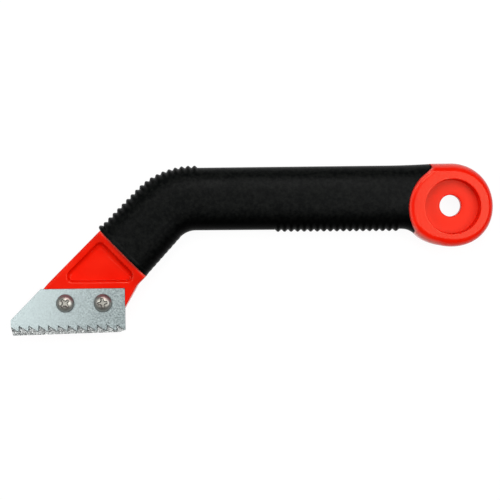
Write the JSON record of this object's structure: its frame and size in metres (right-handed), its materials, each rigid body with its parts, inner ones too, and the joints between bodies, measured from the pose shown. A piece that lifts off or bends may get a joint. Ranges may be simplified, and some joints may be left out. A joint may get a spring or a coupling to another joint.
{
  "type": "grout saw",
  "caption": "Hand grout saw with a bent rubber-covered grip, a hanging eye and two stacked saw blades screwed to a red nose",
  "frame": {"origin": "middle of the bounding box's base, on the surface the tool lies on", "axes": "tool lying on its side: +X from the blades' toe to the hanging eye, +Y up the tool as held with the teeth down, +Z out of the side that carries the blades"},
  "size_m": [0.2108, 0.0756, 0.019],
  "materials": {
    "red_plastic": "semi-gloss moulded",
    "black_rubber": "fine matt",
    "zinc_steel": "zinc plated, satin",
    "grit_steel": "carbide grit brazed on",
    "nickel_steel": "bright nickel"
  },
  "bodies": {
    "root": {"handle_core": "red_plastic", "grip_sleeve": "black_rubber", "toothed_blade": "zinc_steel", "grit_blade": "grit_steel", "blade_screw_toe": "nickel_steel", "blade_screw_heel": "nickel_steel", "blade_nut_toe": "nickel_steel", "blade_nut_heel": "nickel_steel"}
  },
  "joints": []
}
